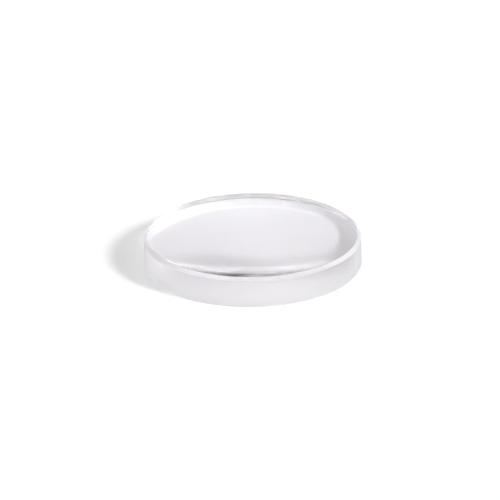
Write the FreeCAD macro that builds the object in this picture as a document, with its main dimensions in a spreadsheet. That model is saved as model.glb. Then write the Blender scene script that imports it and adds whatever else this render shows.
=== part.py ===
"""Plano-convex lens: one disc of optical glass, flat below and spherically domed above.

The disc rests on its plano face.  The origin is the centre of that face and +Z is the optical
axis, towards the vertex of the convex face.  Lengths are in millimetres.

The glass is turned from one half section, whose outline is, in order: the plano face, the
plano bevel, the ground edge, the convex bevel, the arc of the convex face and the optical axis.
"""

import FreeCAD
import Part
import Sketcher

import math
import os

PARTS_FOLDER = "parts"
SHEET = "Dimensions"

# Driving dimensions: alias, value and what it measures.
DRIVING = (
    ("diameter", 25.4, "diameter of the ground edge, one inch"),
    ("centre_thickness", 4.4, "glass on the optical axis, plano face to convex vertex"),
    ("curvature_radius", 103.4, "radius of the spherical convex face"),
    ("plano_bevel", 0.15, "leg of the 45 degree bevel round the plano face"),
    ("convex_bevel", 0.4, "leg of the 45 degree bevel round the convex face"),
)

# Order of the half section's outline in its sketch.
OUTLINE = range(6)
PLANO_FACE, PLANO_BEVEL, GROUND_EDGE, CONVEX_BEVEL, CONVEX_FACE, AXIS = OUTLINE

# Sketcher's numbers for the points of an element, and for the sketch's own origin.
START, END, CENTRE = range(1, 4)
ORIGIN = (-1, START)


def make_sheet(doc):
    """Spreadsheet of the driving dimensions, one aliased cell each."""
    sheet = doc.addObject("Spreadsheet::Sheet", SHEET)
    for row, (alias, value, meaning) in enumerate(DRIVING, start=1):
        sheet.set(f"A{row}", alias)
        sheet.set(f"B{row}", str(value))
        sheet.setAlias(f"B{row}", alias)
        sheet.set(f"C{row}", meaning)
    doc.recompute()
    return sheet


def origin_plane(body, role):
    """The body's own origin plane or axis that has this role."""
    return next(item for item in body.Origin.OriginFeatures if item.Role == role)


def outline(sheet):
    """First shape of the half section, as (radius, height) from the sheet's values."""
    edge_radius = sheet.diameter / 2
    plano_radius = edge_radius - sheet.plano_bevel
    convex_radius = edge_radius - sheet.convex_bevel
    arc_centre = sheet.centre_thickness - sheet.curvature_radius
    rim_angle = math.acos(convex_radius / sheet.curvature_radius)
    rim_height = arc_centre + sheet.curvature_radius * math.sin(rim_angle)

    axis_foot = FreeCAD.Vector(0, 0, 0)
    plano_rim = FreeCAD.Vector(plano_radius, 0, 0)
    edge_foot = FreeCAD.Vector(edge_radius, sheet.plano_bevel, 0)
    edge_top = FreeCAD.Vector(edge_radius, rim_height - sheet.convex_bevel, 0)
    convex_rim = FreeCAD.Vector(convex_radius, rim_height, 0)
    vertex = FreeCAD.Vector(0, sheet.centre_thickness, 0)
    sphere = Part.Circle(FreeCAD.Vector(0, arc_centre, 0), FreeCAD.Vector(0, 0, 1), sheet.curvature_radius)
    return [
        Part.LineSegment(axis_foot, plano_rim),
        Part.LineSegment(plano_rim, edge_foot),
        Part.LineSegment(edge_foot, edge_top),
        Part.LineSegment(edge_top, convex_rim),
        Part.ArcOfCircle(sphere, rim_angle, math.pi / 2),
        Part.LineSegment(vertex, axis_foot),
    ]


def join_outline(sketch):
    """Close the outline corner to corner and lay its straight sides square to the axis."""
    sketch.addConstraint(Sketcher.Constraint("Coincident", PLANO_FACE, START, *ORIGIN))
    for side in OUTLINE:
        following = (side + 1) % len(OUTLINE)
        sketch.addConstraint(Sketcher.Constraint("Coincident", side, END, following, START))
    sketch.addConstraint(Sketcher.Constraint("Horizontal", PLANO_FACE))
    sketch.addConstraint(Sketcher.Constraint("Vertical", GROUND_EDGE))
    sketch.addConstraint(Sketcher.Constraint("Vertical", AXIS))
    sketch.addConstraint(Sketcher.Constraint("PointOnObject", CONVEX_FACE, CENTRE, AXIS))


def bind(sketch, name, formula, kind, *element):
    """Add one size to the sketch, under its own name, and tie it to the sheet."""
    size = float(sketch.evalExpression(formula))
    index = sketch.addConstraint(Sketcher.Constraint(kind, *element, size))
    sketch.renameConstraint(index, name)
    sketch.setExpression(f"Constraints.{name}", formula)


def make_lens(doc, sheet):
    """The glass: one half section turned about the optical axis."""
    body = doc.addObject("PartDesign::Body", "LensBody")
    body.Label = "lens"

    sketch = body.newObject("Sketcher::SketchObject", "HalfSection")
    sketch.AttachmentSupport = [(origin_plane(body, "XZ_Plane"), "")]
    sketch.MapMode = "FlatFace"
    sketch.addGeometry(outline(sheet), False)
    join_outline(sketch)

    edge = f"{SHEET}.diameter / 2"
    plano_leg = f"{SHEET}.plano_bevel"
    convex_leg = f"{SHEET}.convex_bevel"
    bind(sketch, "edge_radius", edge, "DistanceX", *ORIGIN, GROUND_EDGE, START)
    bind(sketch, "plano_bevel_width", plano_leg, "DistanceX", PLANO_BEVEL, START, PLANO_BEVEL, END)
    bind(sketch, "plano_bevel_height", plano_leg, "DistanceY", PLANO_BEVEL, START, PLANO_BEVEL, END)
    bind(sketch, "convex_bevel_width", convex_leg, "DistanceX", CONVEX_BEVEL, END, CONVEX_BEVEL, START)
    bind(sketch, "convex_bevel_height", convex_leg, "DistanceY", CONVEX_BEVEL, START, CONVEX_BEVEL, END)
    bind(sketch, "centre_thickness", f"{SHEET}.centre_thickness", "DistanceY", *ORIGIN, CONVEX_FACE, END)
    bind(sketch, "curvature_radius", f"{SHEET}.curvature_radius", "Radius", CONVEX_FACE)
    doc.recompute()

    turned = body.newObject("PartDesign::Revolution", "TurnedGlass")
    turned.Profile = sketch
    turned.ReferenceAxis = (sketch, ["V_Axis"])
    turned.Angle = 360.0
    sketch.Visibility = False
    body.Tip = turned
    body.Placement = FreeCAD.Placement(FreeCAD.Vector(0, 0, 0), FreeCAD.Rotation())
    return body


def check_document(doc, sub_parts):
    """Stop if an object failed to recompute or a sub-part has no sound solid."""
    for item in doc.Objects:
        if "Invalid" in item.State or "Error" in item.State:
            raise RuntimeError(f"{item.Name} failed: {item.State}")
    for sub_part in sub_parts:
        shape = sub_part.Shape
        if shape.isNull() or not shape.isValid() or len(shape.Solids) != 1:
            raise RuntimeError(f"{sub_part.Label} is not one sound solid")


def export(sub_parts):
    """Write each sub-part to its own STEP file, named by its label."""
    os.makedirs(PARTS_FOLDER, exist_ok=True)
    for sub_part in sub_parts:
        sub_part.Shape.exportStep(os.path.join(PARTS_FOLDER, sub_part.Label + ".step"))


doc = FreeCAD.newDocument("PlanoConvexLens")
dimensions = make_sheet(doc)
sub_parts = [make_lens(doc, dimensions)]
doc.recompute()
check_document(doc, sub_parts)
export(sub_parts)
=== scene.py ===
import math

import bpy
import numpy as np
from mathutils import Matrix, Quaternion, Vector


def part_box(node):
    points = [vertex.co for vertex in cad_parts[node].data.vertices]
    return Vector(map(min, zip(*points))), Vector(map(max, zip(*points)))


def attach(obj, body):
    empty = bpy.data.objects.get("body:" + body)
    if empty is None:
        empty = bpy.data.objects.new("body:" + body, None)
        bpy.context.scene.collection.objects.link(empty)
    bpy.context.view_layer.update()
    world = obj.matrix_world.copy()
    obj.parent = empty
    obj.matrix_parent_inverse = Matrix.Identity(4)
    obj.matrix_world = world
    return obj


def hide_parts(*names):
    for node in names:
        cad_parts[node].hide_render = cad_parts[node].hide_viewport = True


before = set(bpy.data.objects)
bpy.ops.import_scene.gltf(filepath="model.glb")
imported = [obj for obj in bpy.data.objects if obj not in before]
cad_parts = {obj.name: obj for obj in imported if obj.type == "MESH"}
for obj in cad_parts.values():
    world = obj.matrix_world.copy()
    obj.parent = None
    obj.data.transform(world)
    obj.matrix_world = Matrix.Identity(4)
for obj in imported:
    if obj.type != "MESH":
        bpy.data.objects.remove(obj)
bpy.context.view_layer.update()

# Plano-convex lens of clear optical glass, resting on its plano face on a pale bench.
# One closed surface of revolution stands for the whole glass.  Its two faces are polished, and
# its edge and the bevels on both sides of it are fine ground.  Lengths are in metres.

# ---------------------------------------------------------------- sizes of the glass
MM = 0.001

lens_low, lens_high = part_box("lens")
EDGE_RADIUS = (lens_high.x - lens_low.x) / 2
PLANO_HEIGHT = lens_low.z
VERTEX_HEIGHT = lens_high.z
CURVATURE_RADIUS = 103.4 * MM
PLANO_BEVEL = 0.15 * MM
CONVEX_BEVEL = 0.4 * MM

CONVEX_RIM_RADIUS = EDGE_RADIUS - CONVEX_BEVEL
PLANO_RIM_RADIUS = EDGE_RADIUS - PLANO_BEVEL
SPHERE_HEIGHT = VERTEX_HEIGHT - CURVATURE_RADIUS
RIM_ANGLE = math.asin(CONVEX_RIM_RADIUS / CURVATURE_RADIUS)
CONVEX_RIM_HEIGHT = SPHERE_HEIGHT + CURVATURE_RADIUS * math.cos(RIM_ANGLE)

REFRACTIVE_INDEX = 1.517

# ---------------------------------------------------------------- fineness of the surface
TURN_STEPS = 360
PLANO_RINGS = 12
EDGE_RINGS = 8
CONVEX_RINGS = 96
SHARP_ANGLE = math.radians(20)

# Order of the finishes in the glass's material slots.
POLISHED, GROUND_EDGE, GROUND_BEVEL = range(3)

# ---------------------------------------------------------------- numbers of the finishes
# Range that the noise mostly keeps to, which a finish is stretched over.
NOISE_LOW, NOISE_HIGH = 0.3, 0.7

# Cells of noise per metre each way: wiping marks, ground grain, and lines level round the edge.
WIPE_CELLS = (90.0, 220.0, 90.0)
GRAIN_CELLS = (9000.0, 9000.0, 9000.0)
LINE_CELLS = (250.0, 250.0, 14000.0)

WIPED_ROUGHNESS = 0.006
WIPED_DARK, WIPED_LIGHT = (0.985, 0.975, 0.998), (0.993, 0.986, 1.0)

GROUND_SMOOTH, GROUND_ROUGH = 0.28, 0.34
LINE_DEPTH = 0.02 * MM
LINE_STRENGTH = 0.05
EDGE_DARK, EDGE_LIGHT = (0.85, 0.837, 0.86), (0.91, 0.897, 0.92)
EDGE_CLEAR = 0.8
# The bevels are the same fine ground glass as the edge. Their colour is lighter than the edge's as
# painted highlight, which stands in for the light that the bevels catch.
BEVEL_HIGHLIT_DARK, BEVEL_HIGHLIT_LIGHT = (0.93, 0.918, 0.94), (0.95, 0.938, 0.96)
BEVEL_CLEAR = 0.6


def half_section():
    """Outline of the glass from the plano centre to the convex vertex, and each run's finish.

    The plano face is z = foot at every radius.  The bevels are straight 45 degree runs, and the
    edge is r = edge radius.  The convex face is the arc r = R sin t, z = centre + R cos t, with t
    falling from the rim angle to nothing at the vertex.
    """
    plano_radii = np.linspace(0.0, PLANO_RIM_RADIUS, PLANO_RINGS)
    plano = np.column_stack([plano_radii, np.full(PLANO_RINGS, PLANO_HEIGHT)])
    edge_heights = np.linspace(PLANO_HEIGHT + PLANO_BEVEL, CONVEX_RIM_HEIGHT - CONVEX_BEVEL, EDGE_RINGS)
    edge = np.column_stack([np.full(EDGE_RINGS, EDGE_RADIUS), edge_heights])
    angles = np.linspace(RIM_ANGLE, 0.0, CONVEX_RINGS)
    convex = np.column_stack([
        CURVATURE_RADIUS * np.sin(angles),
        SPHERE_HEIGHT + CURVATURE_RADIUS * np.cos(angles),
    ])
    outline = np.concatenate([plano, edge, convex])
    finishes = np.concatenate([
        np.full(PLANO_RINGS - 1, POLISHED),
        [GROUND_BEVEL],
        np.full(EDGE_RINGS - 1, GROUND_EDGE),
        [GROUND_BEVEL],
        np.full(CONVEX_RINGS - 1, POLISHED),
    ])
    return outline, finishes


def turned_mesh(name, outline, finishes):
    """Closed surface of revolution: the point (r, z) turned by a goes to (r cos a, r sin a, z).

    The outline starts and ends on the axis, so its first and last points are single vertices.
    """
    turn = np.arange(TURN_STEPS) * (2 * math.pi / TURN_STEPS)
    rings = outline[1:-1]
    grid = np.empty((len(rings), TURN_STEPS, 3))
    grid[..., 0] = rings[:, :1] * np.cos(turn)
    grid[..., 1] = rings[:, :1] * np.sin(turn)
    grid[..., 2] = rings[:, 1:]
    poles = [[0.0, 0.0, outline[0, 1]], [0.0, 0.0, outline[-1, 1]]]
    points = np.concatenate([grid.reshape(-1, 3), poles])

    index = np.arange(len(rings) * TURN_STEPS).reshape(len(rings), TURN_STEPS)
    following = np.roll(index, -1, axis=1)
    foot, vertex = len(points) - 2, len(points) - 1
    walls = np.stack([index[:-1], following[:-1], following[1:], index[1:]], axis=-1).reshape(-1, 4)
    foot_fan = np.column_stack([np.full(TURN_STEPS, foot), following[0], index[0]])
    vertex_fan = np.column_stack([np.full(TURN_STEPS, vertex), index[-1], following[-1]])
    faces = foot_fan.tolist() + walls.tolist() + vertex_fan.tolist()

    mesh = bpy.data.meshes.new(name)
    mesh.from_pydata(points.tolist(), [], faces)
    mesh.polygons.foreach_set("material_index", np.repeat(finishes, TURN_STEPS).astype(np.int32))
    mesh.polygons.foreach_set("use_smooth", np.ones(len(faces), dtype=bool))
    mesh.update()
    mesh.set_sharp_from_angle(angle=SHARP_ANGLE)
    return mesh


# ---------------------------------------------------------------- finishes
class Nodes:
    """Short hand for building one material's node tree."""

    def __init__(self, name):
        self.material = bpy.data.materials.new(name)
        self.material.use_nodes = True
        self.tree = self.material.node_tree
        self.shader = self.tree.nodes["Principled BSDF"]
        self.coordinates = self.add("ShaderNodeTexCoord").outputs["Object"]

    def add(self, kind, **sockets):
        node = self.tree.nodes.new(kind)
        for socket, value in sockets.items():
            node.inputs[socket.replace("_", " ")].default_value = value
        return node

    def join(self, output, socket):
        self.tree.links.new(output, socket)

    def noise(self, per_metre, detail, roughness=0.5):
        """Noise on the piece's own coordinates, with its own count of cells per metre each way."""
        mapping = self.add("ShaderNodeMapping", Scale=per_metre)
        self.join(self.coordinates, mapping.inputs["Vector"])
        noise = self.add("ShaderNodeTexNoise", Scale=1.0, Detail=detail, Roughness=roughness)
        self.join(mapping.outputs["Vector"], noise.inputs["Vector"])
        return noise.outputs["Fac"]

    def spread(self, value, low, high):
        """The value's middle range, stretched from low to high."""
        node = self.add("ShaderNodeMapRange", From_Min=NOISE_LOW, From_Max=NOISE_HIGH)
        node.inputs["To Min"].default_value = low
        node.inputs["To Max"].default_value = high
        self.join(value, node.inputs["Value"])
        return node.outputs["Result"]

    def blend(self, value, dark, light):
        """Colour between dark and light, as the value goes through its middle range."""
        ramp = self.add("ShaderNodeValToRGB")
        ramp.color_ramp.elements[0].position = NOISE_LOW
        ramp.color_ramp.elements[1].position = NOISE_HIGH
        ramp.color_ramp.elements[0].color = (*dark, 1.0)
        ramp.color_ramp.elements[1].color = (*light, 1.0)
        self.join(value, ramp.inputs["Fac"])
        return ramp.outputs["Color"]


def polished_glass():
    """Clear glass with a faint unevenness, as a hand-wiped optical surface has."""
    nodes = Nodes("polished_glass")
    glass = nodes.shader
    glass.inputs["IOR"].default_value = REFRACTIVE_INDEX
    glass.inputs["Transmission Weight"].default_value = 1.0
    wipe = nodes.noise(WIPE_CELLS, detail=3.0)
    nodes.join(nodes.spread(wipe, 0.0, WIPED_ROUGHNESS), glass.inputs["Roughness"])
    nodes.join(nodes.blend(wipe, WIPED_DARK, WIPED_LIGHT), glass.inputs["Base Color"])
    return nodes.material


def ground_glass(name, dark, light, clear):
    """Fine ground glass: milky, with fine grain and the lines that the wheel leaves round it."""
    nodes = Nodes(name)
    glass = nodes.shader
    glass.inputs["IOR"].default_value = REFRACTIVE_INDEX
    glass.inputs["Transmission Weight"].default_value = clear
    grain = nodes.noise(GRAIN_CELLS, detail=2.0)
    lines = nodes.noise(LINE_CELLS, detail=3.0, roughness=0.6)
    nodes.join(nodes.blend(lines, dark, light), glass.inputs["Base Color"])
    nodes.join(nodes.spread(grain, GROUND_SMOOTH, GROUND_ROUGH), glass.inputs["Roughness"])
    bump = nodes.add("ShaderNodeBump", Strength=LINE_STRENGTH, Distance=LINE_DEPTH)
    nodes.join(lines, bump.inputs["Height"])
    nodes.join(bump.outputs["Normal"], glass.inputs["Normal"])
    return nodes.material


# ---------------------------------------------------------------- the lens
def make_lens():
    """The whole glass as one piece, which stands for the solid of the same section."""
    outline, finishes = half_section()
    lens = bpy.data.objects.new("lens_glass", turned_mesh("lens_glass", outline, finishes))
    bpy.context.scene.collection.objects.link(lens)
    lens.data.materials.append(polished_glass())
    lens.data.materials.append(ground_glass("ground_edge_glass", EDGE_DARK, EDGE_LIGHT, EDGE_CLEAR))
    # The bevel material is a lighter copy of the edge's ground glass, with painted highlight in its
    # colour.
    lens.data.materials.append(ground_glass("ground_bevel_glass_highlit", BEVEL_HIGHLIT_DARK, BEVEL_HIGHLIT_LIGHT, BEVEL_CLEAR))
    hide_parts("lens")
    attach(lens, "root")


# ---------------------------------------------------------------- bench, key lamp and studio
AIR_GAP = 0.03 * MM
BENCH_SIZE = 60.0
BENCH_COLOUR = (0.96, 0.96, 0.96)
MATT_ROUGHNESS = 0.8

# Places round the lens are in degrees: azimuth from +Y towards +X, elevation from the bench.
KEY_AZIMUTH = 126.0
KEY_ELEVATION = 32.0
KEY_SPREAD = math.radians(12.4)
KEY_SHARE = 0.38

STUDIO_LEVEL = 0.675


def direction(azimuth, elevation):
    """Unit vector towards a place round the lens."""
    across, up = math.radians(azimuth), math.radians(elevation)
    return Vector((math.sin(across) * math.cos(up), math.cos(across) * math.cos(up), math.sin(up)))


def matt(name, colour):
    """Plain dull surface of one colour, with no sheen."""
    material = bpy.data.materials.new(name)
    material.use_nodes = True
    shader = material.node_tree.nodes["Principled BSDF"]
    shader.inputs["Base Color"].default_value = (*colour, 1.0)
    shader.inputs["Roughness"].default_value = MATT_ROUGHNESS
    shader.inputs["Specular IOR Level"].default_value = 0.0
    return material


def make_bench():
    """Pale level bench just under the plano face."""
    reach = BENCH_SIZE / 2
    level = PLANO_HEIGHT - AIR_GAP
    mesh = bpy.data.meshes.new("bench")
    corners = [
        (-reach, -reach, level),
        (reach, -reach, level),
        (reach, reach, level),
        (-reach, reach, level),
    ]
    mesh.from_pydata(corners, [], [(0, 1, 2, 3)])
    mesh.materials.append(matt("bench_white", BENCH_COLOUR))
    bench = bpy.data.objects.new("bench", mesh)
    bpy.context.scene.collection.objects.link(bench)


def make_key_lamp():
    """Round soft lamp far off.  KEY_SHARE is its light on the bench, of the light that makes white."""
    lamp = bpy.data.lights.new("key_lamp", "SUN")
    lamp.angle = KEY_SPREAD
    lamp.energy = KEY_SHARE * math.pi / math.sin(math.radians(KEY_ELEVATION))
    stand = bpy.data.objects.new("key_lamp", lamp)
    stand.rotation_euler = direction(KEY_AZIMUTH, KEY_ELEVATION).to_track_quat("Z", "Y").to_euler()
    bpy.context.scene.collection.objects.link(stand)


class Studio:
    """The pale room round the lens: an even level of light plus soft round patches."""

    def __init__(self, level):
        world = bpy.data.worlds.new("studio")
        bpy.context.scene.world = world
        world.use_nodes = True
        self.tree = world.node_tree
        self.towards = self.tree.nodes.new("ShaderNodeTexCoord").outputs["Generated"]
        self.light = level

    def patch(self, azimuth, elevation, full, nothing, strength):
        """Add light, or with a negative strength take some away, round one place.

        It counts in full up to one angle from that place and for nothing past the other.
        """
        facing = self.tree.nodes.new("ShaderNodeVectorMath")
        facing.operation = "DOT_PRODUCT"
        facing.inputs[1].default_value = direction(azimuth, elevation)
        self.tree.links.new(self.towards, facing.inputs[0])
        fade = self.tree.nodes.new("ShaderNodeMapRange")
        fade.interpolation_type = "SMOOTHSTEP"
        fade.inputs["From Min"].default_value = math.cos(math.radians(nothing))
        fade.inputs["From Max"].default_value = math.cos(math.radians(full))
        fade.inputs["To Max"].default_value = strength
        self.tree.links.new(facing.outputs["Value"], fade.inputs["Value"])
        self.light = self.combine("ADD", fade.outputs["Result"], self.light)

    def combine(self, operation, first, second):
        """Two lights joined by one operation.  The second may be a plain number."""
        node = self.tree.nodes.new("ShaderNodeMath")
        node.operation = operation
        self.tree.links.new(first, node.inputs[0])
        if isinstance(second, float):
            node.inputs[1].default_value = second
        else:
            self.tree.links.new(second, node.inputs[1])
        return node.outputs["Value"]

    def finish(self):
        """Let the patches take away no more light than there is, and switch the room on."""
        background = self.tree.nodes["Background"]
        background.inputs["Color"].default_value = (1.0, 1.0, 1.0, 1.0)
        self.tree.links.new(self.combine("MAXIMUM", self.light, 0.0), background.inputs["Strength"])


def make_studio():
    """Room of the pale surfaces and the dark ones that the polished faces mirror."""
    studio = Studio(STUDIO_LEVEL)
    # Pale front wall, two windows, a small panel behind and the ceiling.
    studio.patch(azimuth=-169, elevation=0, full=20, nothing=72, strength=0.82)
    studio.patch(azimuth=-112, elevation=22, full=15, nothing=34, strength=0.86)
    studio.patch(azimuth=61, elevation=28, full=11, nothing=35, strength=0.72)
    studio.patch(azimuth=-13, elevation=17, full=12, nothing=19, strength=0.70)
    studio.patch(azimuth=-9, elevation=79, full=10, nothing=40, strength=1.05)
    # Dark curtains behind, a dark canopy over the key lamp and a dark strip low at the back.
    studio.patch(azimuth=-38, elevation=28, full=20, nothing=58, strength=-1.0)
    studio.patch(azimuth=30, elevation=23, full=3, nothing=22, strength=-0.6)
    studio.patch(azimuth=148, elevation=51, full=13, nothing=45, strength=-1.2)
    studio.patch(azimuth=5, elevation=2, full=4, nothing=16, strength=-0.55)
    studio.finish()


# ---------------------------------------------------------------- camera and light paths
CAMERA_DISTANCE = 1.0
CAMERA_ELEVATION = math.radians(23.53)
CAMERA_ROLL = math.radians(0.88)
CLIP_START = 0.01
SENSOR_WIDTH = 36.0

# The glass's edge radius as a share of the frame's width, and the middle of the frame, measured
# from the middle of the plano face.
EDGE_RADIUS_IN_FRAME = 0.2173
AIM_LEFT = 0.0274 * EDGE_RADIUS
AIM_UP = 0.1237 * EDGE_RADIUS


def make_camera():
    """Camera with a long lens, looking down on the glass from the -Y side."""
    forward = Vector((0.0, math.cos(CAMERA_ELEVATION), -math.sin(CAMERA_ELEVATION)))
    turn = Quaternion(forward, CAMERA_ROLL) @ forward.to_track_quat("-Z", "Y")
    aim = turn @ Vector((-AIM_LEFT, AIM_UP, 0.0))
    data = bpy.data.cameras.new("camera")
    data.sensor_width = SENSOR_WIDTH
    data.lens = SENSOR_WIDTH * CAMERA_DISTANCE * EDGE_RADIUS_IN_FRAME / EDGE_RADIUS
    data.clip_start = CLIP_START
    camera = bpy.data.objects.new("camera", data)
    camera.location = aim - forward * CAMERA_DISTANCE
    camera.rotation_mode = "QUATERNION"
    camera.rotation_quaternion = turn
    bpy.context.scene.collection.objects.link(camera)
    bpy.context.scene.camera = camera


def set_light_paths():
    """Enough bounces for light to cross the glass, light the bench under it and come out."""
    bpy.context.scene.view_settings.view_transform = "Standard"
    cycles = bpy.context.scene.cycles
    cycles.max_bounces = 24
    cycles.glossy_bounces = 16
    cycles.transmission_bounces = 16
    cycles.diffuse_bounces = 6
    cycles.blur_glossy = 0.0
    cycles.sample_clamp_indirect = 0.0


make_lens()
make_bench()
make_key_lamp()
make_studio()
make_camera()
set_light_paths()
